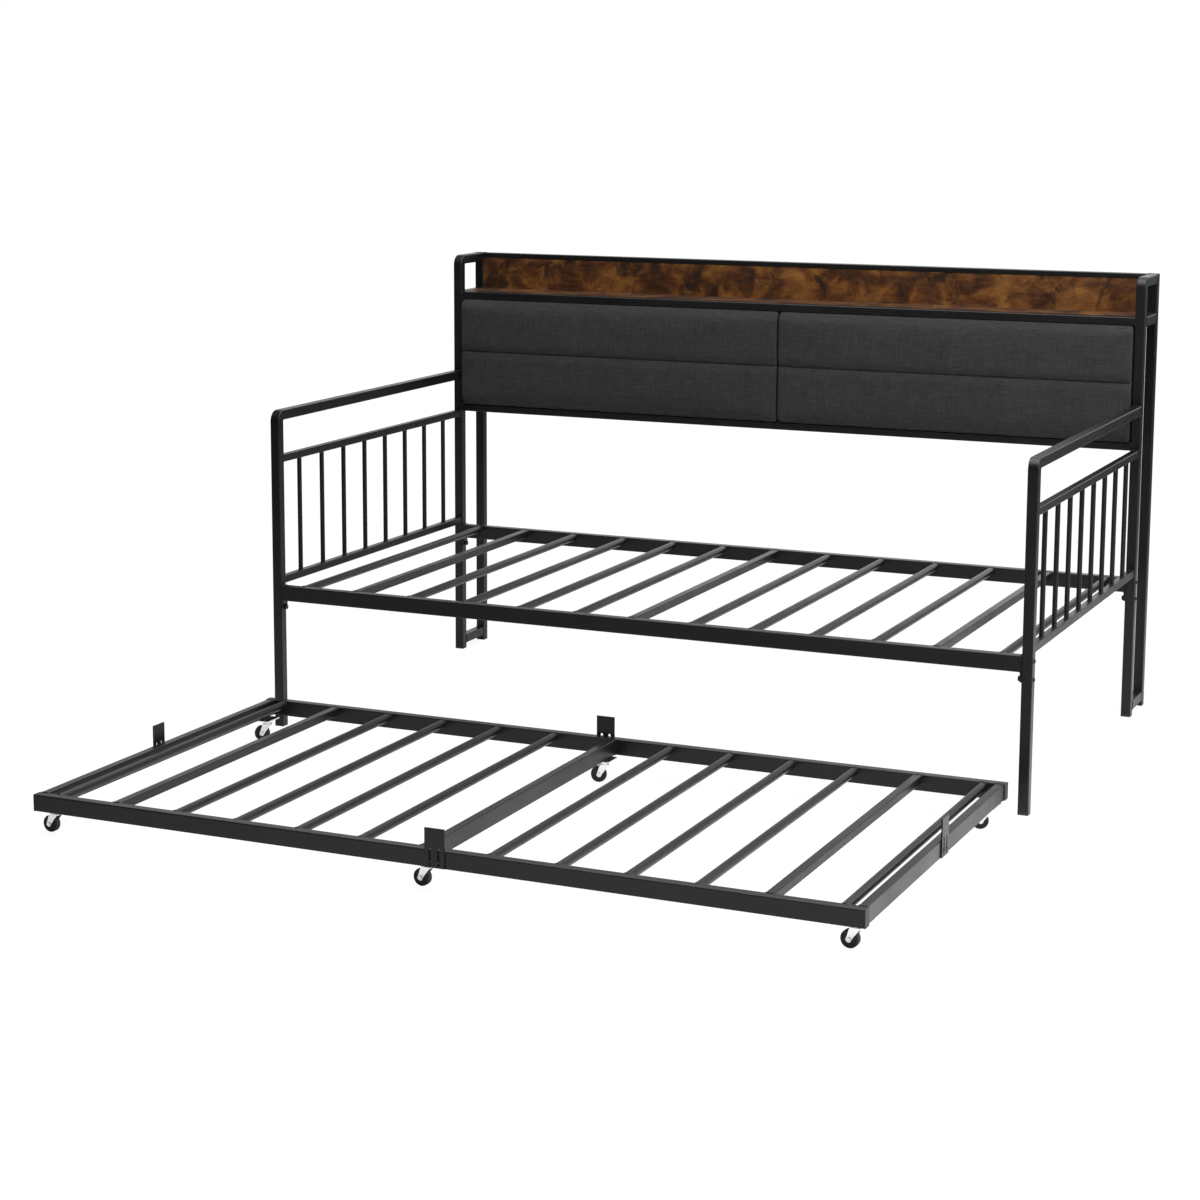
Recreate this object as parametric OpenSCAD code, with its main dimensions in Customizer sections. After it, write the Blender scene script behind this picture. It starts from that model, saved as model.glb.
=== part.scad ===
// Metal daybed with an upholstered storage back and a roll-out trundle.
// Row frame in millimetres: X along the bed, -Y towards the sitter, +Z up.
// The origin is on the floor, under the middle of the whole object with the
// trundle rolled out.

/* [Overall] */
// Length of the daybed over its legs
bed_l = 1980; // [1900:5:2100]
// Depth of the daybed from the front legs to the rear posts
bed_d = 1195; // [1120:5:1300]
// Height of the back unit
bed_h = 1150; // [1000:5:1250]

/* [Frame tube] */
// Side of the square frame tube
tube = 25; // [20:1:30]
// Outer corner radius of the square tube
corner_r = 2.5; // [1.5:0.5:4]
// Wall thickness of the frame tube
wall_t = 1.5; // [1:0.1:2]
// Outer radius of the tube bends
bend_r = 28; // [27:1:40]

/* [Arms] */
// Height of the arm's top rail
arm_top = 820; // [760:5:880]
// Top of the arm's middle rail
arm_mid = 705; // [660:1:730]
// Top of the arm's bottom rail
arm_low = 391; // [385:1:420]
// Side of the arm's middle and bottom rails
arm_tube = 19; // [15:1:25]
// Number of spindles in each arm
spindle_n = 8; // [4:1:9]
// Spacing of the spindles
spindle_pitch = 116; // [90:1:118]
// Diameter of a spindle
spindle_d = 12; // [10:1:16]

/* [Back unit] */
// Depth of the back unit over its posts
back_d = 164; // [140:1:200]
// Top of the shelf's front rail
shelf_top = 1047; // [1020:1:1060]
// Height of the two shelf rails and of the rail under the panels
shelf_rail_h = 20; // [15:1:25]
// Bottom of the upholstered panels
panel_z = 723; // [700:1:760]
// How far the panels stand out in front of the posts
panel_proud = 18; // [10:1:25]
// Thickness of the wooden boards
board_t = 15; // [12:1:18]
// Height of the rail along the top of the back unit
cap_h = 14; // [10:1:25]

/* [Mattress deck] */
// Height of the deck's top surface
deck_top = 369; // [340:1:370]
// Height of the deck rails
rail_h = 38; // [30:1:45]
// Number of slats either side of the middle cross tube
half_slats = 6; // [4:1:6]
// Spacing of the deck's slats
slat_pitch = 152; // [120:1:155]
// Diameter of a round slat
slat_d = 20; // [16:1:22]
// Side of the square cross tubes
cross_w = 20; // [18:1:24]

/* [Trundle] */
// Length of the trundle over its end caps
trundle_l = 1920; // [1850:2:1920]
// Width of the trundle frame
trundle_w = 1021; // [980:1:1025]
// Height of the trundle's top surface
trundle_top = 93; // [92:1:110]
// How far the rolled-out trundle stands in front of the daybed
trundle_out = 1088; // [1070:1:1150]
// Spacing of the trundle's slats
trundle_pitch = 151.5; // [120:0.5:152]
// How far its end rails sit in from the ends of the long rails
end_inset = 3; // [3:1:12]
// Width of the trundle's end rails and middle beam
beam_w = 20; // [20:1:24]

/* [Mattress stops] */
// Width of a stop plate
stop_w = 46; // [40:1:50]
// Height of a stop plate
stop_h = 84; // [70:1:100]
// Thickness of a stop plate
stop_t = 3; // [2:0.5:4]
// Width of the two slots in a stop plate
slot_w = 6.4; // [6.2:0.2:8]

/* [Casters] */
// Diameter of a caster wheel
wheel_d = 38; // [30:1:40]
// Width of a caster wheel
wheel_w = 16; // [12:1:18]
// Distance from the swivel axis back to the wheel's axle
trail = 13; // [10:1:14]
// Inset of the front casters' swivel axes from the frame's front face
caster_front_in = 42; // [38:1:60]
// Inset of the rear casters' swivel axes from the frame's back face
caster_back_in = 70; // [38:1:80]
// Inset of the outer casters' swivel axes from the frame's ends
caster_side_in = 30; // [29:1:34]
// Resting swivel angle of the front casters
front_swivel = 176; // [0:1:359]
// Resting swivel angle of the rear casters
rear_swivel = 205; // [0:1:359]

/* [Hidden] */
$fn = 48;
// frame lines of the daybed
screw_h = 2.6;
y_leg = -(bed_d - trundle_out - stop_t - screw_h) / 2;
y_rear = y_leg + bed_d - tube;
y_post = y_leg + bed_d - back_d;
y_deck = y_leg + tube;
deck_w = y_post - y_deck;
x_in = bed_l / 2 - tube;
x_mid = bed_l / 2 - tube / 2;
foot_h = 6;
plate_t = 4;
bend_in = bend_r - tube / 2;
cap_z = bed_h - cap_h;
shelf_z = shelf_top - shelf_rail_h;
panel_h = shelf_z - panel_z - 0.6;
panel_l = x_in - 2.5;
panel_y = y_post - panel_proud;
panel_t = panel_proud + 9;
shelf_y = y_post + tube;
shelf_w = y_rear - shelf_y;
// joint bolts of the deck
bolt_r = 4;
bolt_zs = [deck_top - 12, deck_top - 55];
bracket_h = 61;
// trundle lines
y_tf = y_leg - trundle_out;
y_tb = y_tf + trundle_w;
rail_w = 25;
t_low = trundle_top - rail_h;
slat_y = y_tf + rail_w;
slat_l = trundle_w - 2 * rail_w;
x_end = trundle_l / 2 - end_inset;
plug_t = 1.5;
// stops: [x, y, turn] of each plate's outer face
slot_h = 38;
slot_gap = 20;
stop_z = t_low + 1;
front_stop_x = 38;
back_stop_x = -28;
left_stop_y = y_tf + trundle_w / 2 - 10;
right_stop_y = y_tf + trundle_w / 2 + 20;
// casters
axle_r = 3;
run_fit = 0.05;
fork_t = 2;
fork_in = wheel_w / 2 + 1;
mount_t = 3;
mount_w = 44;
mount_l = 58;
crown_z = wheel_d + 3;
crown_t = 2.5;
race_top = t_low - mount_t - 0.5;
king_r = 4;
caster_x = trundle_l / 2 - caster_side_in;
caster_ys = [y_tf + caster_front_in, y_tb - caster_back_in];
casters = [
    for (row = [0, 1])
        for (col = [-1, 0, 1])
            [col * caster_x, caster_ys[row], row == 0 ? front_swivel : rear_swivel]
];

BLACK = [0.10, 0.10, 0.11];
RUBBER = [0.05, 0.05, 0.05];
WOOD = [0.42, 0.25, 0.12];
LINEN = [0.22, 0.23, 0.24];
PLY = [0.12, 0.12, 0.12];
CHROME = [0.80, 0.81, 0.83];

// ---------- sections and tubes ----------

// rectangle with rounded corners, centred
module rounded(w, h, r) {
    square([w - 2 * r, h], center = true);
    square([w, h - 2 * r], center = true);
    for (sx = [-1, 1], sy = [-1, 1])
        translate([sx * (w / 2 - r), sy * (h / 2 - r)]) circle(r = r);
}

// section of a rectangular tube
module tube_section(w, h, t = wall_t) {
    difference() {
        rounded(w, h, corner_r);
        rounded(w - 2 * t, h - 2 * t, max(corner_r - t, 0.5));
    }
}

// tube along +X from its start point, d deep in Y and h tall in Z
module tube_x(len, d, h) {
    rotate([90, 0, 90]) linear_extrude(len) tube_section(d, h);
}

// tube along +Y from its start point, w wide in X and h tall in Z
module tube_y(len, w, h) {
    rotate([-90, 0, 0]) linear_extrude(len) tube_section(w, h);
}

// round tube along +Y
module round_tube_y(len, d, t = 1.2) {
    rotate([-90, 0, 0]) linear_extrude(len) difference() {
        circle(d = d);
        circle(d = d - 2 * t);
    }
}

// solid core of an upright that turns back towards +Y in a tight bend;
// side is the section's side, z0 and z1 its foot and the tube's top face
module hooked_upright(side, z0, z1) {
    r = side == tube ? corner_r : max(corner_r - wall_t, 0.5);
    translate([0, 0, z0]) linear_extrude(z1 - bend_r - z0) rounded(side, side, r);
    translate([0, bend_in, z1 - bend_r]) rotate([90, 0, -90])
        rotate_extrude(angle = 90) translate([bend_in, 0]) rounded(side, side, r);
}

// hollow upright with a bent top and two drilled bolt lines
module bent_post(z1) {
    difference() {
        hooked_upright(tube, foot_h, z1);
        hooked_upright(tube - 2 * wall_t, foot_h, z1);
        for (z = bolt_zs)
            translate([0, 0, z]) rotate([0, 90, 0])
                cylinder(r = bolt_r + 0.2, h = 2 * tube, center = true);
    }
}

// ---------- arms ----------

module front_leg(s) {
    translate([s * x_mid, y_leg + tube / 2, 0]) bent_post(arm_top);
}

// rail of the given side from start behind the leg's front face to the post
module arm_rail(s, top, start, side) {
    translate([s * x_mid, y_leg + start, top - side / 2]) tube_y(y_post - y_leg - start, side, side);
}

module arm_spindles(s) {
    y_mid = (y_deck + y_post) / 2;
    for (k = [0 : spindle_n - 1])
        translate([s * x_mid, y_mid + spindle_pitch * (k - (spindle_n - 1) / 2), arm_low])
            linear_extrude(arm_mid - arm_tube - arm_low) difference() {
                circle(d = spindle_d);
                circle(d = spindle_d - 2);
            }
}

module left_front_leg() { color(BLACK) front_leg(-1); }
module right_front_leg() { color(BLACK) front_leg(1); }
module left_arm_top_rail() { color(BLACK) arm_rail(-1, arm_top, bend_r, tube); }
module right_arm_top_rail() { color(BLACK) arm_rail(1, arm_top, bend_r, tube); }
module left_arm_middle_rail() { color(BLACK) arm_rail(-1, arm_mid, tube, arm_tube); }
module right_arm_middle_rail() { color(BLACK) arm_rail(1, arm_mid, tube, arm_tube); }
module left_arm_bottom_rail() { color(BLACK) arm_rail(-1, arm_low, tube, arm_tube); }
module right_arm_bottom_rail() { color(BLACK) arm_rail(1, arm_low, tube, arm_tube); }
module left_arm_spindles() { color(BLACK) arm_spindles(-1); }
module right_arm_spindles() { color(BLACK) arm_spindles(1); }

// ---------- back unit ----------

module back_front_post(s) {
    translate([s * x_mid, y_post + tube / 2, 0]) bent_post(bed_h);
}

// straight post, closed at the top
module back_rear_post(s) {
    inner = tube - 2 * wall_t;
    translate([s * x_mid, y_rear + tube / 2, foot_h]) difference() {
        linear_extrude(bed_h - foot_h) rounded(tube, tube, corner_r);
        translate([0, 0, -1]) linear_extrude(bed_h - foot_h - wall_t + 1)
            rounded(inner, inner, max(corner_r - wall_t, 0.5));
    }
}

module side_bar(s, top, start) {
    translate([s * x_mid, y_post + start, top - tube / 2]) tube_y(y_rear - y_post - start, tube, tube);
}

module upper_side_bars(s) {
    side_bar(s, bed_h, bend_r);
    side_bar(s, shelf_top + 1, tube);
}

module foot_side_bar(s) { side_bar(s, 39, tube); }

module left_back_front_post() { color(BLACK) back_front_post(-1); }
module right_back_front_post() { color(BLACK) back_front_post(1); }
module left_back_rear_post() { color(BLACK) back_rear_post(-1); }
module right_back_rear_post() { color(BLACK) back_rear_post(1); }
module left_upper_side_bars() { color(BLACK) upper_side_bars(-1); }
module right_upper_side_bars() { color(BLACK) upper_side_bars(1); }
module left_foot_side_bar() { color(BLACK) foot_side_bar(-1); }
module right_foot_side_bar() { color(BLACK) foot_side_bar(1); }

// rail between the two side frames, y and z at its section's centre
module long_rail(y, z, h) {
    translate([-x_in, y, z]) tube_x(2 * x_in, tube, h);
}

module top_cap_rail() {
    color(BLACK) long_rail(y_rear + tube / 2, cap_z + cap_h / 2, cap_h);
}

module shelf_front_rail() {
    color(BLACK) long_rail(y_post + tube / 2, shelf_z + shelf_rail_h / 2, shelf_rail_h);
}

module shelf_rear_rail() {
    color(BLACK) long_rail(y_rear + tube / 2, shelf_z + shelf_rail_h / 2, shelf_rail_h);
}

module back_bottom_rail() {
    color(BLACK) long_rail(y_post + tube / 2, panel_z - shelf_rail_h / 2, shelf_rail_h);
}

module back_board() {
    color(WOOD) translate([-x_in + 0.5, y_rear + 1, shelf_top + 1])
        cube([2 * x_in - 1, board_t, cap_z - shelf_top - 1]);
}

module shelf_board() {
    color(WOOD) translate([-x_in + 0.5, shelf_y, shelf_top + 1 - board_t])
        cube([2 * x_in - 1, shelf_w, board_t]);
}

// upholstered panel: flat back, front edges rounded over
module back_panel(s) {
    r = 9;
    x0 = s < 0 ? -panel_l : 1;
    translate([x0, 0, 0]) rotate([90, 0, 90]) linear_extrude(panel_l - 1) union() {
        translate([panel_y + r, panel_z + 0.3]) square([panel_t - r, panel_h]);
        translate([panel_y, panel_z + 0.3 + r]) square([r + 1, panel_h - 2 * r]);
        for (z = [panel_z + 0.3 + r, panel_z + 0.3 + panel_h - r])
            translate([panel_y + r, z]) circle(r = r);
    }
}

module left_back_panel() { color(LINEN) back_panel(-1); }
module right_back_panel() { color(LINEN) back_panel(1); }

module panel_backings() {
    color(PLY) for (x0 = [-panel_l, 1])
        translate([x0, panel_y + panel_t, panel_z + 0.3]) cube([panel_l - 1, 9, panel_h]);
}

// ---------- mattress deck ----------

module deck_rail(y) {
    translate([-x_in + plate_t, y + tube / 2, deck_top - rail_h / 2])
        tube_x(2 * (x_in - plate_t), tube, rail_h);
}

module deck_front_rail() { color(BLACK) deck_rail(y_leg); }
module deck_back_rail() { color(BLACK) deck_rail(y_post); }

// one cross member: square at every fifth place, round elsewhere
module cross_member(k, pitch, y0, len, top) {
    if (k % 5 == 0)
        translate([k * pitch, y0, top - cross_w / 2]) tube_y(len, cross_w, cross_w);
    else
        translate([k * pitch, y0, top - slat_d / 2]) round_tube_y(len, slat_d);
}

module deck_slats() {
    color(BLACK) for (k = [-half_slats : half_slats])
        cross_member(k, slat_pitch, y_deck, deck_w, deck_top);
}

// welded plates on the rail ends that bolt to the uprights
module corner_brackets() {
    color(BLACK) for (s = [-1, 1], y = [y_leg, y_post])
        translate([s * (x_in - plate_t / 2), y + tube / 2, deck_top - bracket_h / 2]) difference() {
            cube([plate_t, tube - 1, bracket_h], center = true);
            for (z = bolt_zs)
                translate([0, 0, z - deck_top + bracket_h / 2]) rotate([0, 90, 0])
                    cylinder(r = bolt_r + 0.2, h = 3 * plate_t, center = true);
        }
}

// one joint bolt along +X from the bracket's inner face to the domed head
module joint_bolt() {
    rotate([0, 90, 0]) {
        translate([0, 0, -6]) cylinder(r = bolt_r, h = tube + plate_t + 6);
        translate([0, 0, -6]) cylinder(d = 13, h = 6, $fn = 6);
        translate([0, 0, tube + plate_t]) rotate_extrude() dome_section(6.6, 4);
    }
}

// half section of a flat-bottomed dome of radius r and height h
module dome_section(r, h) {
    big = (r * r + h * h) / (2 * h);
    intersection() {
        square([r, h]);
        translate([0, h - big]) circle(r = big, $fn = 96);
    }
}

module corner_bolts() {
    color(BLACK) for (s = [0, 1], y = [y_leg, y_post], z = bolt_zs)
        mirror([s, 0, 0]) translate([x_in - plate_t, y + tube / 2, z]) joint_bolt();
}

// plastic foot with a plug that fills the tube's end
module foot_cap() {
    inner = tube - 2 * wall_t;
    linear_extrude(foot_h) rounded(tube, tube, corner_r);
    linear_extrude(foot_h + 12) rounded(inner, inner, 0.5);
}

module foot_caps() {
    color(RUBBER) for (s = [-1, 1], y = [y_leg, y_post, y_rear])
        translate([s * x_mid, y + tube / 2, 0]) foot_cap();
}

// ---------- trundle frame ----------

module trundle_long_rail(y) {
    half = trundle_l / 2 - plug_t;
    translate([-half, y + rail_w / 2, trundle_top - rail_h / 2]) tube_x(2 * half, rail_w, rail_h);
}

module trundle_end_rail(s) {
    translate([s * (x_end - beam_w / 2), slat_y, trundle_top - rail_h / 2])
        tube_y(slat_l, beam_w, rail_h);
}

module trundle_front_rail() { color(BLACK) trundle_long_rail(y_tf); }
module trundle_back_rail() { color(BLACK) trundle_long_rail(y_tb - rail_w); }
module trundle_left_end_rail() { color(BLACK) trundle_end_rail(-1); }
module trundle_right_end_rail() { color(BLACK) trundle_end_rail(1); }

module trundle_mid_beam() {
    color(BLACK) translate([0, slat_y, trundle_top - rail_h / 2]) tube_y(slat_l, beam_w, rail_h);
}

module trundle_slats(s) {
    for (k = [1 : half_slats])
        cross_member(s * k, trundle_pitch, slat_y, slat_l, trundle_top);
}

module trundle_left_slats() { color(BLACK) trundle_slats(-1); }
module trundle_right_slats() { color(BLACK) trundle_slats(1); }

// ---------- mattress stops ----------

// upright plate in the XZ plane, its back face on y = 0, facing -Y
module stop_plate() {
    difference() {
        translate([-stop_w / 2, -stop_t, stop_z]) cube([stop_w, stop_t, stop_h]);
        for (x = [-slot_gap / 2, slot_gap / 2])
            translate([x, -stop_t / 2, stop_z + 4]) rotate([90, 0, 0])
                linear_extrude(2 * stop_t, center = true) {
                    translate([-slot_w / 2, slot_w / 2]) square([slot_w, slot_h - slot_w]);
                    for (z = [slot_w / 2, slot_h - slot_w / 2])
                        translate([0, z]) circle(d = slot_w);
                }
    }
}

// the two screws of one stop, on the plate's outer face
module stop_screws() {
    for (x = [-slot_gap / 2, slot_gap / 2])
        translate([x, 0, stop_z + 14]) rotate([90, 0, 0]) {
            cylinder(r = 3, h = stop_t);
            translate([0, 0, stop_t]) rotate_extrude() dome_section(5, screw_h);
        }
}

// places its children on one side of the trundle, facing outwards
module on_front() { translate([front_stop_x, y_tf, 0]) children(); }
module on_back() { translate([back_stop_x, y_tb, 0]) rotate([0, 0, 180]) children(); }
module on_left() { translate([-x_end, left_stop_y, 0]) rotate([0, 0, -90]) children(); }
module on_right() { translate([x_end, right_stop_y, 0]) rotate([0, 0, 90]) children(); }

module trundle_front_stop() { color(BLACK) on_front() stop_plate(); }
module trundle_back_stop() { color(BLACK) on_back() stop_plate(); }
module trundle_left_stop() { color(BLACK) on_left() stop_plate(); }
module trundle_right_stop() { color(BLACK) on_right() stop_plate(); }

module stop_bolts() {
    color(BLACK) {
        on_front() stop_screws();
        on_back() stop_screws();
        on_left() stop_screws();
        on_right() stop_screws();
    }
}

// plugs in the open ends of the two long rails
module trundle_end_caps() {
    inner = rail_w - 2 * wall_t;
    color(RUBBER) for (s = [0, 1], y = [y_tf, y_tb - rail_w])
        mirror([s, 0, 0]) translate([trundle_l / 2 - plug_t, y + rail_w / 2, trundle_top - rail_h / 2])
            rotate([90, 0, 90]) {
                linear_extrude(plug_t) rounded(rail_w, rail_h, corner_r);
                translate([0, 0, -10]) linear_extrude(10) rounded(inner, rail_h - 2 * wall_t, 0.5);
            }
}

// ---------- casters ----------

// plates under the end rails and the beam, each with a riveted kingpin
module caster_mounts() {
    for (c = casters) color(CHROME) translate([c[0], c[1], 0]) {
        outward = 4 * sign(c[0]);
        translate([outward - mount_w / 2, -mount_l / 2, t_low - mount_t])
            cube([mount_w, mount_l, mount_t]);
        translate([0, 0, crown_z - 1.4]) cylinder(r = king_r, h = t_low - crown_z);
        translate([0, 0, crown_z - 2.2]) cylinder(r = king_r + 2.4, h = 1.6);
    }
}

// fork with its trail along +X, its axle at the wheel's height
module fork() {
    difference() {
        union() {
            translate([-11, -fork_in - fork_t, crown_z]) cube([22, 2 * (fork_in + fork_t), crown_t]);
            translate([0, 0, crown_z + crown_t]) cylinder(r = 10, h = race_top - crown_z - crown_t);
        }
        translate([0, 0, crown_z - 1]) cylinder(r = king_r + run_fit, h = 20);
    }
    for (s = [-1, 1])
        translate([0, s * (fork_in + fork_t / 2), 0]) rotate([90, 0, 0])
            linear_extrude(fork_t, center = true) {
                polygon([[-11, crown_z + crown_t], [11, crown_z + crown_t],
                         [trail + 6, wheel_d / 2], [trail - 6, wheel_d / 2]]);
                translate([trail, wheel_d / 2]) circle(r = 6);
            }
    translate([trail, 0, wheel_d / 2]) rotate([90, 0, 0]) {
        cylinder(r = axle_r, h = 2 * (fork_in + fork_t) + 2, center = true);
        for (s = [-1, 1])
            translate([0, 0, s * (fork_in + fork_t + 1)]) cylinder(r = 4.6, h = 2, center = true);
    }
}

// wheel with a crowned tread and recessed faces
module wheel() {
    r = wheel_d / 2;
    translate([trail, 0, r]) rotate([90, 0, 0]) rotate_extrude($fn = 96) difference() {
        union() {
            translate([0, -wheel_w / 2]) square([r - 3, wheel_w]);
            translate([0, 3 - wheel_w / 2]) square([r, wheel_w - 6]);
            for (s = [-1, 1])
                translate([r - 3, s * (wheel_w / 2 - 3)]) circle(r = 3);
        }
        translate([-1, -wheel_w]) square([axle_r + run_fit + 1, 2 * wheel_w]);
        for (s = [-1, 1])
            translate([7, s * wheel_w / 2 - 1]) square([r - 12, 2]);
    }
}

module at_caster(i) { translate([casters[i][0], casters[i][1], 0]) rotate([0, 0, casters[i][2]]) children(); }

module caster_fork_1() { color(CHROME) at_caster(0) fork(); }
module caster_fork_2() { color(CHROME) at_caster(1) fork(); }
module caster_fork_3() { color(CHROME) at_caster(2) fork(); }
module caster_fork_4() { color(CHROME) at_caster(3) fork(); }
module caster_fork_5() { color(CHROME) at_caster(4) fork(); }
module caster_fork_6() { color(CHROME) at_caster(5) fork(); }
module caster_wheel_1() { color(RUBBER) at_caster(0) wheel(); }
module caster_wheel_2() { color(RUBBER) at_caster(1) wheel(); }
module caster_wheel_3() { color(RUBBER) at_caster(2) wheel(); }
module caster_wheel_4() { color(RUBBER) at_caster(3) wheel(); }
module caster_wheel_5() { color(RUBBER) at_caster(4) wheel(); }
module caster_wheel_6() { color(RUBBER) at_caster(5) wheel(); }

left_front_leg();
right_front_leg();
left_arm_top_rail();
right_arm_top_rail();
left_arm_middle_rail();
right_arm_middle_rail();
left_arm_bottom_rail();
right_arm_bottom_rail();
left_arm_spindles();
right_arm_spindles();
left_back_front_post();
right_back_front_post();
left_back_rear_post();
right_back_rear_post();
left_upper_side_bars();
right_upper_side_bars();
left_foot_side_bar();
right_foot_side_bar();
top_cap_rail();
back_board();
shelf_board();
shelf_front_rail();
shelf_rear_rail();
back_bottom_rail();
left_back_panel();
right_back_panel();
panel_backings();
deck_front_rail();
deck_back_rail();
deck_slats();
corner_brackets();
corner_bolts();
foot_caps();
trundle_front_rail();
trundle_back_rail();
trundle_left_end_rail();
trundle_right_end_rail();
trundle_mid_beam();
trundle_left_slats();
trundle_right_slats();
trundle_front_stop();
trundle_back_stop();
trundle_left_stop();
trundle_right_stop();
stop_bolts();
trundle_end_caps();
caster_mounts();
caster_fork_1();
caster_fork_2();
caster_fork_3();
caster_fork_4();
caster_fork_5();
caster_fork_6();
caster_wheel_1();
caster_wheel_2();
caster_wheel_3();
caster_wheel_4();
caster_wheel_5();
caster_wheel_6();
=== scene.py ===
import math

import bmesh
import bpy
import numpy as np
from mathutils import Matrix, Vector, noise
from mathutils.bvhtree import BVHTree


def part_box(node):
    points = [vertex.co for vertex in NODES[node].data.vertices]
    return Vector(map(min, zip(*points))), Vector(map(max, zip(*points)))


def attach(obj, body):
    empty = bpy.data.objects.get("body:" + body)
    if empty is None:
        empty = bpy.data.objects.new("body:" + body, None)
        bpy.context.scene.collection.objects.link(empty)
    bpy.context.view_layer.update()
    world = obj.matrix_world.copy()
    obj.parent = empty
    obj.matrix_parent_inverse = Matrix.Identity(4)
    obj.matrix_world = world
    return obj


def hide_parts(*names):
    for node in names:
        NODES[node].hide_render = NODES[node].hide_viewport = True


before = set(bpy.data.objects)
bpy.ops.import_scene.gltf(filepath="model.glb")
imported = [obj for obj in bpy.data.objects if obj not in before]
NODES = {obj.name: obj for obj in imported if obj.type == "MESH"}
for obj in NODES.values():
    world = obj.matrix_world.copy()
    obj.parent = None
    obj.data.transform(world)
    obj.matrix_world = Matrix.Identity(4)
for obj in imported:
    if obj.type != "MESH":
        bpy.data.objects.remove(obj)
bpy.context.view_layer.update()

# ---------------------------------------------------------------- materials

MIX_FACTOR, MIX_A, MIX_B, MIX_RESULT = 0, 6, 7, 2  # colour sockets of the Mix node
GRAIN_SWAY = 0.012  # how far the wood grain wanders
THREAD_PITCH = 0.00125  # spacing of the linen's threads


class Tree:
    """Small helper for writing a procedural material."""

    def __init__(self, name):
        self.mat = bpy.data.materials.new(name)
        self.mat.use_nodes = True
        self.nt = self.mat.node_tree
        self.nt.nodes.clear()
        self.out = self.nt.nodes.new("ShaderNodeOutputMaterial")
        self.bsdf = self.nt.nodes.new("ShaderNodeBsdfPrincipled")
        self.link(self.bsdf.outputs[0], self.out.inputs["Surface"])
        self.coord = self.nt.nodes.new("ShaderNodeTexCoord").outputs["Object"]

    def link(self, a, b):
        self.nt.links.new(a, b)

    def set(self, **values):
        for key, v in values.items():
            self.bsdf.inputs[key.replace("_", " ")].default_value = v

    def scaled(self, x, y, z, rot=(0, 0, 0), vector=None):
        m = self.nt.nodes.new("ShaderNodeMapping")
        m.inputs["Scale"].default_value = (x, y, z)
        m.inputs["Rotation"].default_value = rot
        self.link(vector or self.coord, m.inputs["Vector"])
        return m.outputs[0]

    def noise(self, vector, scale, detail=3.0, rough=0.55, distort=0.0):
        n = self.nt.nodes.new("ShaderNodeTexNoise")
        n.inputs["Scale"].default_value = scale
        n.inputs["Detail"].default_value = detail
        n.inputs["Roughness"].default_value = rough
        n.inputs["Distortion"].default_value = distort
        self.link(vector, n.inputs["Vector"])
        return n.outputs["Fac"]

    def math(self, op, a, b=0.5):
        m = self.nt.nodes.new("ShaderNodeMath")
        m.operation = op
        for i, v in enumerate((a, b)):
            if isinstance(v, (int, float)):
                m.inputs[i].default_value = v
            else:
                self.link(v, m.inputs[i])
        return m.outputs[0]

    def ramp(self, fac, stops):
        r = self.nt.nodes.new("ShaderNodeValToRGB")
        while len(r.color_ramp.elements) < len(stops):
            r.color_ramp.elements.new(0.5)
        for e, (pos, col) in zip(r.color_ramp.elements, stops):
            e.position = pos
            e.color = (*col, 1.0)
        self.link(fac, r.inputs["Fac"])
        return r.outputs["Color"]

    def grey(self, fac, lo, hi, a=0.0, b=1.0):
        """Maps fac from [a, b] to [lo, hi]."""
        m = self.nt.nodes.new("ShaderNodeMapRange")
        m.inputs["From Min"].default_value = a
        m.inputs["From Max"].default_value = b
        m.inputs["To Min"].default_value = lo
        m.inputs["To Max"].default_value = hi
        self.link(fac, m.inputs["Value"])
        return m.outputs[0]

    def mix(self, fac, a, b):
        m = self.nt.nodes.new("ShaderNodeMix")
        m.data_type = "RGBA"
        for i, v in ((MIX_FACTOR, fac), (MIX_A, a), (MIX_B, b)):
            if isinstance(v, (int, float)):
                m.inputs[i].default_value = v
            elif isinstance(v, tuple):
                m.inputs[i].default_value = (*v, 1.0)
            else:
                self.link(v, m.inputs[i])
        return m.outputs[MIX_RESULT]

    def bump(self, height, distance, strength):
        b = self.nt.nodes.new("ShaderNodeBump")
        b.inputs["Strength"].default_value = strength
        b.inputs["Distance"].default_value = distance
        self.link(height, b.inputs["Height"])
        return b.outputs[0]

    def finish(self, color, rough, normal):
        for key, v in (("Base Color", color), ("Roughness", rough), ("Normal", normal)):
            if v is not None:
                self.link(v, self.bsdf.inputs[key])
        return self.mat


def powder_coat(name, dark, light, rough):
    """Satin black powder coat: fine orange peel, soft cloudiness, faint specks."""
    t = Tree(name)
    cloud = t.noise(t.coord, 7.0, 4.0, 0.6)
    peel = t.noise(t.coord, 1100.0, 2.0, 0.5)
    speck = t.noise(t.coord, 2600.0, 1.0, 0.5)
    color = t.mix(cloud, dark, light)
    color = t.mix(t.grey(speck, 0.0, 0.5, 0.62, 0.75), color, (0.014, 0.014, 0.015))
    r = t.math("ADD", t.grey(cloud, rough[0], rough[1], 0.3, 0.7), t.grey(peel, -0.04, 0.04))
    t.set(Specular_IOR_Level=0.30)
    return t.finish(color, r, t.bump(peel, 0.00008, 0.55))


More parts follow.
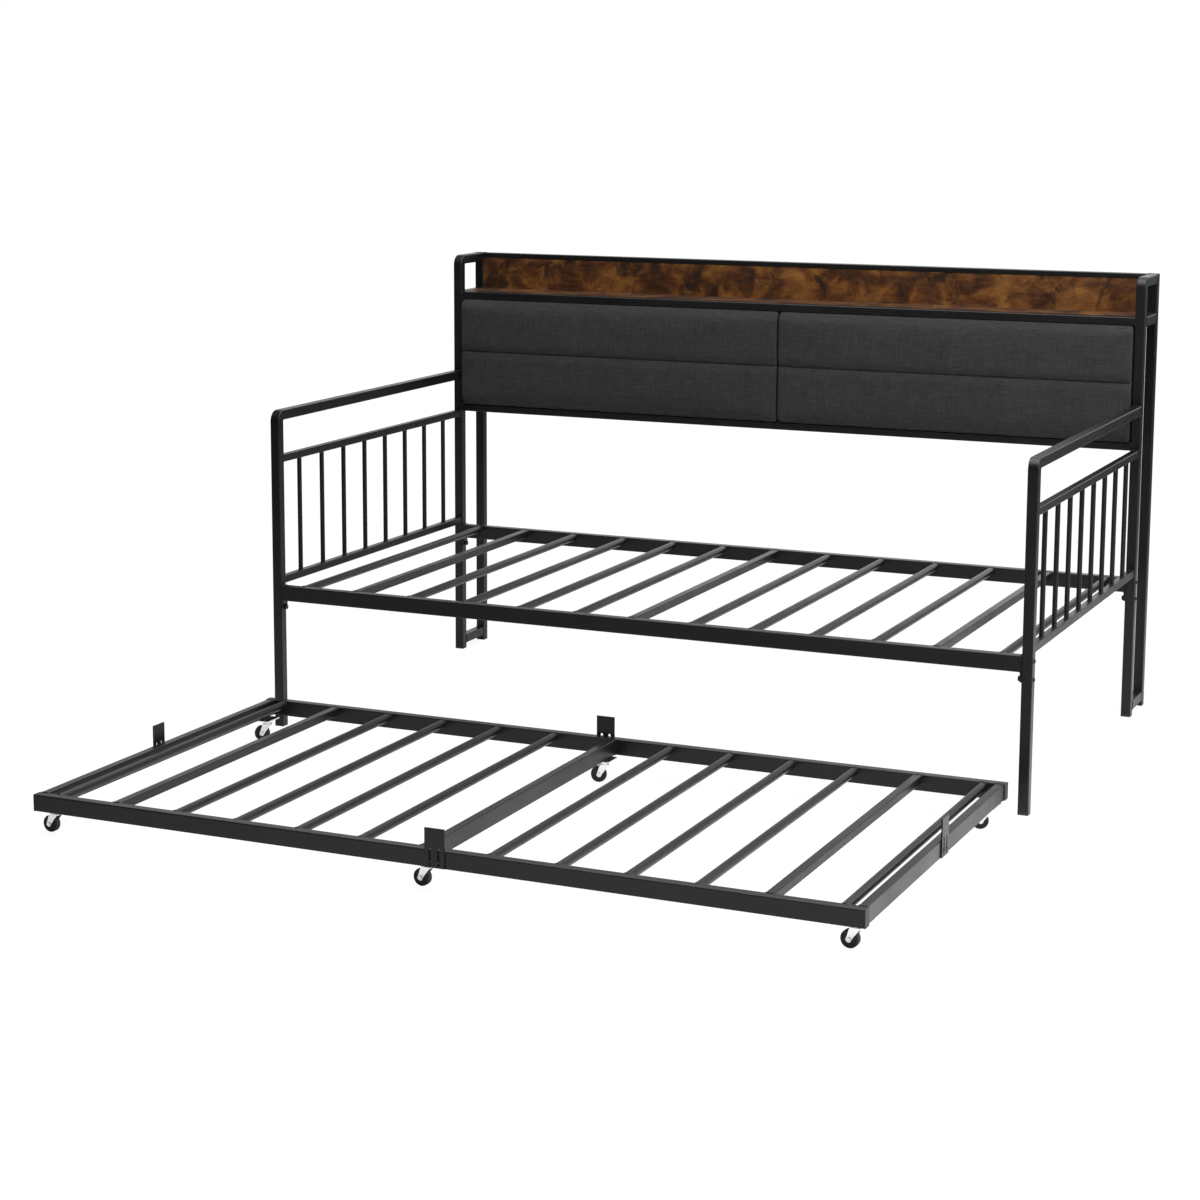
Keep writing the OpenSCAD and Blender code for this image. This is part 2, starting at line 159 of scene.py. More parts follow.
def rustic_wood(name, shade=1.0):
    """Rustic brown board: grain along X, golden and burnt patches, fine dark pores; a shade below 1
    darkens the whole board as painted shade.
    """
    t = Tree(name)

    def tint(r, g, b):
        return (r * shade, g * shade, b * shade)

    warp = t.noise(t.scaled(2.2, 2.2, 7.0), 1.6, 3.0)
    sway = t.grey(warp, -GRAIN_SWAY, GRAIN_SWAY)
    shift = t.nt.nodes.new("ShaderNodeCombineXYZ")
    t.link(sway, shift.inputs["Y"])
    t.link(sway, shift.inputs["Z"])
    swayed = t.nt.nodes.new("ShaderNodeVectorMath")
    swayed.operation = "ADD"
    t.link(t.coord, swayed.inputs[0])
    t.link(shift.outputs[0], swayed.inputs[1])
    p = swayed.outputs[0]
    fine = t.noise(t.scaled(14.0, 420.0, 420.0, vector=p), 1.0, 5.0, 0.65)
    streak = t.noise(t.scaled(7.0, 90.0, 90.0, vector=p), 1.0, 4.0, 0.6, 0.4)
    patch = t.noise(t.scaled(11.0, 15.0, 15.0, vector=p), 1.0, 5.0, 0.66, 0.5)
    burnt = t.noise(t.scaled(19.0, 13.0, 13.0, (0.3, 0.2, 0.4), p), 1.0, 5.0, 0.66, 0.6)
    color = t.ramp(patch, [
        (0.34, tint(0.024, 0.0070, 0.0016)),
        (0.46, tint(0.070, 0.0215, 0.0040)),
        (0.54, tint(0.140, 0.0500, 0.0090)),
        (0.66, tint(0.230, 0.1010, 0.0200)),
    ])
    color = t.mix(t.grey(streak, 0.0, 0.50, 0.50, 0.74), color, tint(0.165, 0.0720, 0.0170))
    color = t.mix(t.grey(fine, 0.0, 0.45, 0.42, 0.75), color, tint(0.034, 0.0115, 0.0030))
    color = t.mix(t.grey(burnt, 0.0, 0.92, 0.50, 0.64), color, tint(0.014, 0.0048, 0.0015))
    pore = t.noise(t.scaled(40.0, 1400.0, 1400.0, vector=p), 1.0, 2.0, 0.5)
    color = t.mix(t.grey(pore, 0.0, 0.6, 0.60, 0.72), color, tint(0.017, 0.0075, 0.0030))
    r = t.grey(fine, 0.42, 0.62, 0.3, 0.7)
    t.set(Specular_IOR_Level=0.35)
    height = t.math("ADD", t.math("MULTIPLY", fine, 0.6), t.math("MULTIPLY", pore, -0.5))
    return t.finish(color, r, t.bump(height, 0.00025, 0.6))


def linen(name, base):
    """Charcoal linen: plain weave with uneven slubbed threads both ways and a soft nap."""
    t = Tree(name)
    turns = 2 * math.pi / THREAD_PITCH
    sep = t.nt.nodes.new("ShaderNodeSeparateXYZ")
    t.link(t.coord, sep.inputs[0])
    drift = t.math("MULTIPLY", t.noise(t.coord, 35.0, 2.0), 6.0)
    sx = t.math("SINE", t.math("ADD", t.math("MULTIPLY", sep.outputs["X"], turns), drift))
    sz = t.math("SINE", t.math("ADD", t.math("MULTIPLY", sep.outputs["Z"], turns), drift))
    weave = t.math("MULTIPLY", sx, sz)
    slub_x = t.noise(t.scaled(26.0, 300.0, 620.0), 1.0, 3.0, 0.6)
    slub_z = t.noise(t.scaled(620.0, 300.0, 26.0), 1.0, 3.0, 0.6)
    cloud = t.noise(t.coord, 9.0, 3.0)
    tone = t.math("ADD", t.math("MULTIPLY", slub_x, 0.60), t.math("MULTIPLY", slub_z, 0.55))
    tone = t.math("ADD", tone, t.math("MULTIPLY", weave, 0.05))
    tone = t.math("ADD", tone, t.math("MULTIPLY", cloud, 0.10))
    dark, pale = (tuple(v * k for v in base) for k in (0.62, 1.55))
    color = t.ramp(tone, [(0.42, dark), (0.62, base), (0.80, pale)])
    height = t.math("ADD", t.math("MULTIPLY", weave, 0.30), t.math("ADD", slub_x, slub_z))
    t.set(Roughness=0.92, Specular_IOR_Level=0.15, Sheen_Weight=0.07, Sheen_Roughness=0.50,
          Sheen_Tint=(0.75, 0.78, 0.82, 1.0))
    return t.finish(color, None, t.bump(height, 0.0005, 0.55))


def plated(name):
    """Bright zinc and chrome plate with a fine brushed break-up."""
    t = Tree(name)
    n = t.noise(t.scaled(60.0, 60.0, 900.0), 1.0, 3.0)
    cloud = t.noise(t.coord, 45.0, 2.0)
    t.set(Metallic=1.0)
    color = t.mix(cloud, (0.66, 0.67, 0.69), (0.82, 0.83, 0.85))
    return t.finish(color, t.grey(n, 0.14, 0.30, 0.3, 0.7), t.bump(n, 0.00003, 0.4))


def moulded(name, base, rough, grain):
    """Moulded black plastic or rubber with a fine pebbled skin."""
    t = Tree(name)
    n = t.noise(t.coord, grain, 3.0, 0.6)
    cloud = t.noise(t.coord, 25.0, 3.0)
    color = t.mix(cloud, base, tuple(v * 1.9 for v in base))
    t.set(Specular_IOR_Level=0.4)
    return t.finish(color, t.grey(cloud, rough[0], rough[1], 0.3, 0.7), t.bump(n, 0.0001, 0.5))


def board_back(name):
    """Black-stained board behind the panels: faint vertical fibre and dust."""
    t = Tree(name)
    fibre = t.noise(t.scaled(160.0, 160.0, 6.0), 1.0, 4.0, 0.6)
    cloud = t.noise(t.coord, 5.0, 3.0)
    color = t.ramp(fibre, [(0.3, (0.011, 0.010, 0.0095)), (0.7, (0.026, 0.024, 0.022))])
    color = t.mix(t.grey(cloud, 0.0, 0.35, 0.45, 0.8), color, (0.034, 0.031, 0.028))
    t.set(Specular_IOR_Level=0.25)
    return t.finish(color, t.grey(fibre, 0.6, 0.8), t.bump(fibre, 0.0002, 0.5))


COAT = powder_coat("black_powder_coat", (0.0034, 0.0034, 0.0037), (0.0062, 0.0062, 0.0066), (0.33, 0.42))
WELD = powder_coat("painted_weld", (0.0045, 0.0045, 0.0050), (0.0085, 0.0085, 0.0090), (0.34, 0.46))
OXIDE = powder_coat("black_oxide", (0.006, 0.006, 0.0065), (0.011, 0.011, 0.012), (0.28, 0.38))
WOOD = rustic_wood("rustic_brown_wood")
# painted shade: the shelf's top is the same wood as the back board, darkened to 0.55
SHADED_SHELF_WOOD = rustic_wood("rustic_wood_painted_shade", 0.55)
LINEN = linen("charcoal_linen", (0.0245, 0.0250, 0.0260))
PLATE = plated("bright_plate")
PLASTIC = moulded("black_plastic", (0.010, 0.010, 0.010), (0.45, 0.6), 900.0)
RUBBER = moulded("black_wheel", (0.008, 0.008, 0.008), (0.5, 0.7), 1400.0)
BOARD = board_back("black_board")


def assign(obj, mat):
    if not obj.material_slots:
        obj.data.materials.append(mat)
    for s in obj.material_slots:
        s.material = mat


for name, obj in NODES.items():
    if name == "back_board":
        assign(obj, WOOD)
    elif name == "shelf_board":
        assign(obj, SHADED_SHELF_WOOD)
    elif name.endswith("back_panel"):
        assign(obj, LINEN)
    elif name == "panel_backings":
        assign(obj, BOARD)
    elif name in ("foot_caps", "trundle_end_caps"):
        assign(obj, PLASTIC)
    elif name.startswith("caster_fork") or name == "caster_mounts":
        assign(obj, PLATE)
    elif name.startswith("caster_wheel"):
        assign(obj, RUBBER)
    elif name in ("corner_bolts", "stop_bolts"):
        assign(obj, OXIDE)
    else:
        assign(obj, COAT)


# ---------------------------------------------------------------- helpers

UP = {"X": (1, 0, 0), "Y": (0, 1, 0), "Z": (0, 0, 1)}


def place(name, data):
    """Makes an object of the data and puts it in the scene."""
    ob = bpy.data.objects.new(name, data)
    bpy.context.scene.collection.objects.link(ob)
    return ob


def new_object(name, verts, faces, mat, smooth=True):
    me = bpy.data.meshes.new(name)
    me.from_pydata([tuple(v) for v in verts], [], faces)
    me.materials.append(mat)
    me.update()
    for p in me.polygons:
        p.use_smooth = smooth
    return place(name, me)


def bead(path, up, radius, verts, faces, seed, step, sides=6, closed=True):
    """Adds a rippled bead or thread to the lists: path lies in a plane and up is square to it."""
    pts = [Vector(p) for p in path]
    up = Vector(up)
    loop = pts + [pts[0]] if closed else pts
    dense = []
    for a, b in zip(loop, loop[1:]):
        n = max(1, round((b - a).length / step))
        dense += [a.lerp(b, i / n) for i in range(n)]
    if not closed:
        dense.append(loop[-1])
    m = len(dense)
    base = len(verts)
    for i, p in enumerate(dense):
        nxt = dense[(i + 1) % m] if closed else dense[min(i + 1, m - 1)]
        prv = dense[i - 1] if closed or i else dense[0]
        side = (nxt - prv).cross(up).normalized()
        k = noise.noise(p * 260 + Vector((seed, 0, 0)))
        r = radius * (1.0 + 0.22 * k + 0.14 * (i % 2))
        for s in range(sides):
            a = 2 * math.pi * s / sides
            verts.append(p + side * (r * math.cos(a)) + up * (r * math.sin(a)))
    last = m if closed else m - 1
    for i in range(last):
        for s in range(sides):
            a, b = base + i * sides, base + ((i + 1) % m) * sides
            faces.append((a + s, a + (s + 1) % sides, b + (s + 1) % sides, b + s))
    if not closed:
        faces.append(tuple(base + s for s in reversed(range(sides))))
        faces.append(tuple(base + (m - 1) * sides + s for s in range(sides)))


def in_plane(c, axis, x, y):
    """The point (x, y) on the plane through c that is square to an axis letter."""
    return Vector(c) + Vector({"X": (0, x, y), "Y": (x, 0, y), "Z": (x, y, 0)}[axis])


def ring(c, axis, r, n=28):
    """Circle of points round an axis letter."""
    out = []
    for i in range(n):
        a = 2 * math.pi * i / n
        out.append(in_plane(c, axis, r * math.cos(a), r * math.sin(a)))
    return out


def rect(c, axis, w, h, cr=0.0025):
    """Rounded rectangle of points round an axis letter: w across, h up."""
    out = []
    for sx, sy, a0 in ((1, 1, 0), (-1, 1, 90), (-1, -1, 180), (1, -1, 270)):
        for k in range(4):
            a = math.radians(a0 + 30 * k)
            x = sx * (w / 2 - cr) + cr * math.cos(a)
            y = sy * (h / 2 - cr) + cr * math.sin(a)
            out.append(in_plane(c, axis, x, y))
    return out


# ---------------------------------------------------------------- positions

lo_leg, hi_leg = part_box("right_front_leg")
T = hi_leg[0] - lo_leg[0]  # side of the square tube
X_IN = lo_leg[0]  # inner face of the uprights
Y_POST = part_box("right_back_front_post")[0][1]  # front face of the back unit's front posts


# ---------------------------------------------------------------- upholstery

LONG_ROUND, END_ROUND = 0.016, 0.006  # radii of the block's long front edges and of the rest
SHARP = 1.2  # radians; an edge that turns more than this is still square
VOXEL = 0.0055  # grain of the mesh that is inflated
HELD_RIM = 0.007  # width of the strip along the front's outline that doesn't move
CLOTH_FRAMES = 20
PUFF = 0.005  # most that the cover moves when it is inflated
GROOVE = (0.0012, 0.0025, 0.004, 0.006, 0.009)  # edge loops on each side of the sewn channel
STITCH, STITCH_PITCH, THREAD_R = 0.0042, 0.0054, 0.00042

def seam_height():
    """Height of the sewn channel across both panels, a little over half-way up."""
    lo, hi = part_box("left_back_panel")
    return lo[2] + 0.51 * (hi[2] - lo[2])


def rounded_block(name, lo, hi, mat):
    """Closed block that the panel is inflated from: long front edges well rounded, the rest eased."""
    bm = bmesh.new()
    bmesh.ops.create_cube(bm, size=1.0)
    c, s = (lo + hi) / 2, hi - lo
    for v in bm.verts:
        v.co = Vector((c[i] + v.co[i] * s[i] for i in range(3)))
    long_edges = [e for e in bm.edges if all(v.co.y < c.y for v in e.verts)
                  and abs(e.verts[0].co.x - e.verts[1].co.x) > 0.5 * s.x]
    bmesh.ops.bevel(bm, geom=long_edges, offset=LONG_ROUND, segments=6, profile=0.5, affect="EDGES")
    ends = [e for e in bm.edges if len(e.link_faces) == 2 and e.verts[0].co.y < hi.y - 0.001
            and e.verts[1].co.y < hi.y - 0.001 and e.calc_face_angle() > SHARP]
    bmesh.ops.bevel(bm, geom=ends, offset=END_ROUND, segments=3, profile=0.5, affect="EDGES")
    me = bpy.data.meshes.new(name)
    bm.to_mesh(me)
    bm.free()
    me.materials.append(mat)
    return place(name, me)


def apply_modifiers(ob):
    dg = bpy.context.evaluated_depsgraph_get()
    me = bpy.data.meshes.new_from_object(ob.evaluated_get(dg))
    old = ob.data
    ob.modifiers.clear()
    ob.data = me
    bpy.data.meshes.remove(old)


def coords(me):
    co = np.empty(len(me.vertices) * 3)
    me.vertices.foreach_get("co", co)
    return co.reshape(-1, 3)


def write_coords(me, co):
    me.vertices.foreach_set("co", co.ravel())
    me.update()


def inflate(ob, lo, hi):
    """Blows the block's front up as a stretched cover over foam: its sides and back are held."""
    remesh = ob.modifiers.new("remesh", "REMESH")
    remesh.mode = "VOXEL"
    remesh.voxel_size = VOXEL
    apply_modifiers(ob)
    start = coords(ob.data)
    held = ob.vertex_groups.new(name="held")
    inside = (start[:, 0] > lo.x + HELD_RIM) & (start[:, 0] < hi.x - HELD_RIM)
    inside &= (start[:, 2] > lo.z + HELD_RIM) & (start[:, 2] < hi.z - HELD_RIM)
    inside &= start[:, 1] < (lo.y + hi.y) / 2
    held.add([int(i) for i in np.nonzero(~inside)[0]], 1.0, "ADD")
    cloth = ob.modifiers.new("cloth", "CLOTH")
    s = cloth.settings
    s.quality = 5
    s.mass = 0.3
    s.tension_stiffness = s.compression_stiffness = 22.0
    s.shear_stiffness = 12.0
    s.bending_stiffness = 2.5
    s.use_pressure = True
    s.uniform_pressure_force = 4.0
    s.vertex_group_mass = "held"
    s.effector_weights.gravity = 0.0
    cloth.point_cache.frame_start, cloth.point_cache.frame_end = 1, CLOTH_FRAMES
    scene = bpy.context.scene
    for f in range(1, CLOTH_FRAMES + 1):
        scene.frame_set(f)
    dg = bpy.context.evaluated_depsgraph_get()
    blown = coords(ob.evaluated_get(dg).to_mesh())
    ob.modifiers.clear()
    scene.frame_set(1)
    move = blown - start
    length = np.linalg.norm(move, axis=1)
    # a soft limit, so the front stays round where it is reached
    move *= (PUFF * np.tanh(length / PUFF) / np.maximum(length, 1e-9))[:, None]
    write_coords(ob.data, start + move)
    sub = ob.modifiers.new("subdivision", "SUBSURF")
    sub.levels = sub.render_levels = 1
    apply_modifiers(ob)


def cut_loops(me, heights):
    """Inserts edge loops at the given heights, so that a narrow groove is crisp."""
    bm = bmesh.new()
    bm.from_mesh(me)
    for z in heights:
        geom = bm.verts[:] + bm.edges[:] + bm.faces[:]
        bmesh.ops.bisect_plane(bm, geom=geom, plane_co=(0, 0, z), plane_no=(0, 0, 1), dist=1e-6)
    bm.to_mesh(me)
    bm.free()


def lumpy(x, z, seed):
    """Slow unevenness of hand-pulled fabric, in -1..1."""
    return noise.noise(Vector((x * 3.1 + seed, seed * 1.7, z * 5.0)))


def swell(distance, width, height):
    """Smooth bump of the given height that dies away over about the given width."""
    return np.exp(-((distance / width) ** 2)) * height


def make_panel(node, seed):
    """Upholstered panel: an inflated block, drawn in along its channel and its long edges."""
    lo, hi = (Vector(v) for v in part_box(node))
    seam = seam_height()
    a = Vector((lo.x + 0.0008, lo.y + 0.0035, lo.z + 0.0004))
    b = Vector((hi.x - 0.0008, hi.y - 0.0003, hi.z - 0.0004))
    ob = rounded_block(node + "_upholstery", a, b, LINEN)
    inflate(ob, a, b)
    cut_loops(ob.data, [seam + d for d in (*(-g for g in reversed(GROOVE)), 0.0, *GROOVE)])
    co = coords(ob.data)
    depth = np.clip((b.y - co[:, 1]) / (b.y - a.y), 0.0, 1.0)  # 0 at the stapled back, 1 at the front
    dz = co[:, 2] - seam
    wide, narrow = swell(dz, 0.013, 0.0048), swell(dz, 0.0026, 0.0042)
    edges = swell(hi.z - co[:, 2], 0.016, 0.0085)
    edges += swell(co[:, 2] - lo.z, 0.018, 0.0050)
    pucker = np.array([noise.noise(Vector((x * 46 + seed, 0.3, z * 9))) for x, _, z in co])
    near = swell(dz, 0.026, 1.0)
    slow = np.array([lumpy(x, z, seed) for x, _, z in co])
    co[:, 1] += depth * (wide + narrow + edges + near * pucker * 0.0009 - slow * 0.0008)
    # the cover stays in the panel's space, apart from a little give at the front and round the rim
    co[:, 1] = np.maximum(co[:, 1], lo.y - 0.004)
    co[:, 0] = np.clip(co[:, 0], lo.x - 0.0002, hi.x + 0.0002)
    co[:, 2] = np.clip(co[:, 2], lo.z - 0.0002, hi.z + 0.0002)
    co[:, 1] = np.minimum(co[:, 1], hi.y)
    write_coords(ob.data, co)
    for p in ob.data.polygons:
        p.use_smooth = True
    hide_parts(node)
    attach(ob, "daybed")
    return ob


PANELS = [make_panel("left_back_panel", 3.0), make_panel("right_back_panel", 11.0)]


def front_of(ob):
    """Sampler for how far forward a panel's face is at (x, z)."""
    me = ob.data
    tree = BVHTree.FromPolygons([v.co[:] for v in me.vertices], [p.vertices[:] for p in me.polygons])

    def at(x, z):
        hit = tree.ray_cast(Vector((x, Y_POST - 0.2, z)), Vector((0, 1, 0)))
        return hit[0].y if hit[0] else None

    return at


def stitches(ob, name):
    """Row of single threads down in the sewn channel."""
    at, z = front_of(ob), seam_height()
    lo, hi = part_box(name)
    verts, faces = [], []
    x = lo[0] + 0.010
    k = 0
    while x < hi[0] - 0.012:
        y0, y1 = at(x, z), at(x + STITCH, z)
        if y0 is not None and y1 is not None:
            mid = (y0 + y1) / 2 - 0.0007
            path = [(x, y0 + 0.0003, z), (x + 0.0010, mid, z),
                    (x + 0.0032, mid, z), (x + STITCH, y1 + 0.0003, z)]
            bead(path, UP["Z"], THREAD_R, verts, faces, seed=k, step=0.0014, sides=5, closed=False)
        x += STITCH_PITCH
        k += 1
    st = new_object(ob.name + "_stitches", verts, faces, LINEN)
    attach(st, "daybed")


for panel, node in zip(PANELS, ("left_back_panel", "right_back_panel")):
    stitches(panel, node)


# ---------------------------------------------------------------- welds and small hardware

SLAT_R = 0.010  # half the width of a round slat and of a square cross tube
SQUARE = (-5, 0, 5)  # places in a row of cross members that are square tubes
ROW_STEPS = 6  # spaces from the middle of a row to its outermost member
SPINDLES, SPINDLE_R = 8, 0.006
SNUG = 0.0001  # gap between a round tube and the bead's centre line
SCREWS, SCREW_SIDE_IN, SCREW_EDGE_IN = 5, 0.040, 0.022  # per row on a board, and their insets


class Welds:
    """Collects weld beads into one object."""

    def __init__(self):
        self.verts, self.faces, self.n = [], [], 0

    def add(self, path, axis, bead_r):
        self.n += 1
        bead(path, UP[axis], bead_r, self.verts, self.faces, self.n, step=0.0024)

    def round(self, c, axis, r, bead_r=0.0012):
        self.add(ring(c, axis, r), axis, bead_r)

    def square(self, c, axis, w, h, bead_r=0.0012):
        self.add(rect(c, axis, w, h), axis, bead_r)

    def done(self, name, body):
        ob = new_object(name, self.verts, self.faces, WELD)
        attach(ob, body)


def centre(node):
    lo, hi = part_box(node)
    return (lo + hi) / 2


def slat_welds(w, ks, lo, hi, reach):
    """Beads at both ends of a row of cross members: the outermost stands at reach from the middle."""
    pitch = (reach - SLAT_R) / ROW_STEPS
    for k in ks:
        for y in (lo.y, hi.y):
            c = (k * pitch, y, hi.z - SLAT_R)
            if k in SQUARE:
                w.square(c, "Y", 2 * SLAT_R, 2 * SLAT_R)
            else:
                w.round(c, "Y", SLAT_R + SNUG)


w = Welds()
lo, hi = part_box("deck_slats")
slat_welds(w, range(-6, 7), lo, hi, hi.x)
for side in ("left", "right"):
    x = centre(side + "_arm_middle_rail").x
    for rail, ends in (("top", (1,)), ("middle", (0, 1)), ("bottom", (0, 1))):
        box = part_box(f"{side}_arm_{rail}_rail")
        lo, hi = box
        for e in ends:
            w.square((x, box[e].y, (lo.z + hi.z) / 2), "Y", hi.x - lo.x, hi.z - lo.z)
    lo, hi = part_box(side + "_arm_spindles")
    for k in range(SPINDLES):
        y = lo.y + SPINDLE_R + k * (hi.y - lo.y - 2 * SPINDLE_R) / (SPINDLES - 1)
        for z in (lo.z, hi.z):
            w.round((x, y, z), "Z", SPINDLE_R + SNUG, 0.0010)
    lo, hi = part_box(side + "_foot_side_bar")
    ulo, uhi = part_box(side + "_upper_side_bars")
    for z in (centre(side + "_foot_side_bar").z, ulo.z + T / 2):
        for y in (lo.y, hi.y):
            w.square((x, y, z), "Y", T, T)
    w.square((x, hi.y, uhi.z - T / 2), "Y", T, T)
    sx = 1 if side == "right" else -1
    for node in ("back_bottom_rail", "shelf_front_rail", "shelf_rear_rail", "top_cap_rail"):
        lo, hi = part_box(node)
        c = centre(node)
        w.square((sx * X_IN, c.y, c.z), "X", hi.y - lo.y, hi.z - lo.z)
    for node in ("deck_front_rail", "deck_back_rail"):
        lo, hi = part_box(node)
        c = centre(node)
        w.square((sx * hi.x, c.y, c.z), "X", hi.y - lo.y, hi.z - lo.z, 0.0014)
w.done("daybed_welds", "daybed")

w = Welds()
for side, ks in (("left", range(-6, 0)), ("right", range(1, 7))):
    lo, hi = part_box(f"trundle_{side}_slats")
    slat_welds(w, ks, lo, hi, max(-lo.x, hi.x))
    node = f"trundle_{side}_end_rail"
    lo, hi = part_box(node)
    for y in (lo.y, hi.y):
        w.square((centre(node).x, y, centre(node).z), "Y", hi.x - lo.x, hi.z - lo.z)
lo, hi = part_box("trundle_mid_beam")
for y in (lo.y, hi.y):
    w.square((0, y, centre("trundle_mid_beam").z), "Y", hi.x - lo.x, hi.z - lo.z)
w.done("trundle_welds", "trundle")


def pan_screw(c, direction, r, h, verts, faces, turn):
    """Flat-domed screw head with a cross recess, standing on point c."""
    d = Vector(direction)
    u = d.orthogonal().normalized()
    v = d.cross(u)
    base = len(verts)
    n = 20  # points round the head: five for each arm of the cross
    cross = (0.40, 0.30, 0.13, 0.13, 0.30)  # how far out the recess reaches at those five
    profile = [(1.0, -0.3), (1.0, 0.35), (0.93, 0.72), (0.74, 0.93), (0.46, 1.0)]
    for pr, ph in profile:
        for i in range(n):
            a = 2 * math.pi * i / n + turn
            verts.append(Vector(c) + (u * math.cos(a) + v * math.sin(a)) * (r * pr) + d * (h * ph))
    for j in range(len(profile) - 1):
        for i in range(n):
            a, b = base + j * n, base + (j + 1) * n
            faces.append((a + i, a + (i + 1) % n, b + (i + 1) % n, b + i))
    faces.append(tuple(base + i for i in reversed(range(n))))
    # the recess: its rim follows a rounded cross and its floor lies well down in the head
    rim, floor = [], []
    last = base + (len(profile) - 1) * n
    for i in range(n):
        a = 2 * math.pi * i / n
        k = cross[i % len(cross)]
        e = u * math.cos(a + turn) + v * math.sin(a + turn)
        rim.append(len(verts))
        verts.append(Vector(c) + e * (r * k) + d * h)
        floor.append(len(verts))
        verts.append(Vector(c) + e * (r * k * 0.6) + d * (h * 0.3))
    for i in range(n):
        j = (i + 1) % n
        faces.append((last + i, last + j, rim[j], rim[i]))
        faces.append((rim[i], rim[j], floor[j], floor[i]))
    faces.append(tuple(floor))


verts, faces = [], []
lo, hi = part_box("panel_backings")
for s in (-1, 1):
    for i in range(SCREWS):
        x = s * (SCREW_SIDE_IN + i * (hi.x - 2 * SCREW_SIDE_IN) / (SCREWS - 1))
        for z in (lo.z + SCREW_EDGE_IN, hi.z - SCREW_EDGE_IN):
            pan_screw((x, hi.y, z), (0, 1, 0), 0.0045, 0.0022, verts, faces, turn=0.7 * i + z)
ob = new_object("backing_screws", verts, faces, OXIDE, smooth=False)
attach(ob, "daybed")


# ---------------------------------------------------------------- floor, light, camera

FLOOR_CENTRE = (0.5, 0.5)  # the lit part of the floor reaches further to the right and rear
FLOOR_REACH = 10.0  # metres covered by the floor's grey levels, which are (metres, value)
# painted pool of light: the floor's colour for lit and reflected rays is pale near its centre and dark
# far out
FLOOR_LIT = [(0.0, 0.80), (2.1, 0.74), (3.1, 0.34), (5.4, 0.10)]  # as lit and reflected
FLOOR_GLOW = [(0.0, 0.90), (2.0, 0.92), (6.0, 1.0)]  # as the camera sees it
REAR_WALL = (0.10, 0.95, 0.26)  # direction of the bright wall's middle
ROOM, REAR_GLOW = 0.06, 1.35  # brightness of the dim room and of the wall's middle
ROOM_EDGE, WALL_EDGE = 0.55, 0.97  # cosines of the angle from the wall's middle for those two


def light_path_mix(nt, camera_side, other_side, target):
    """Shows one shader to the camera and another to every other ray. Used on floor and world only."""
    path = nt.nodes.new("ShaderNodeLightPath")
    mix = nt.nodes.new("ShaderNodeMixShader")
    nt.links.new(path.outputs["Is Camera Ray"], mix.inputs[0])
    nt.links.new(other_side, mix.inputs[1])
    nt.links.new(camera_side, mix.inputs[2])
    nt.links.new(mix.outputs[0], target)


def distance_ramp(nt, stops):
    """Grey level that follows the distance from the floor's centre, as (metres, value) stops."""
    coord = nt.nodes.new("ShaderNodeTexCoord")
    length = nt.nodes.new("ShaderNodeVectorMath")
    length.operation = "LENGTH"
    nt.links.new(coord.outputs["Object"], length.inputs[0])
    span = nt.nodes.new("ShaderNodeMath")
    span.operation = "DIVIDE"
    nt.links.new(length.outputs["Value"], span.inputs[0])
    span.inputs[1].default_value = FLOOR_REACH
    ramp = nt.nodes.new("ShaderNodeValToRGB")
    while len(ramp.color_ramp.elements) < len(stops):
        ramp.color_ramp.elements.new(0.5)
    for e, (metres, v) in zip(ramp.color_ramp.elements, stops):
        e.position = metres / FLOOR_REACH
        e.color = (v, v, v, 1)
    nt.links.new(span.outputs[0], ramp.inputs["Fac"])
    return ramp.outputs["Color"]


def make_floor():
    """Pale floor that fades to white for the camera; for reflections its own colour fades to a dim room,
    a painted pool of light.
    """
    bm = bmesh.new()
    bmesh.ops.create_grid(bm, x_segments=1, y_segments=1, size=30.0)
    me = bpy.data.meshes.new("floor")
    bm.to_mesh(me)
    bm.free()
    mat = bpy.data.materials.new("pale_floor")
    mat.use_nodes = True
    nt = mat.node_tree
    nt.nodes.clear()
    out = nt.nodes.new("ShaderNodeOutputMaterial")
    lit = nt.nodes.new("ShaderNodeBsdfDiffuse")
    nt.links.new(distance_ramp(nt, FLOOR_LIT), lit.inputs["Color"])
    faint = nt.nodes.new("ShaderNodeBsdfDiffuse")
    faint.inputs["Color"].default_value = (0.10, 0.10, 0.10, 1)
    glow = nt.nodes.new("ShaderNodeEmission")
    nt.links.new(distance_ramp(nt, FLOOR_GLOW), glow.inputs["Color"])
    add = nt.nodes.new("ShaderNodeAddShader")
    nt.links.new(faint.outputs[0], add.inputs[0])
    nt.links.new(glow.outputs[0], add.inputs[1])
    light_path_mix(nt, add.outputs[0], lit.outputs[0], out.inputs["Surface"])
    me.materials.append(mat)
    ob = place("floor", me)
    ob.location = (*FLOOR_CENTRE, -0.0004)


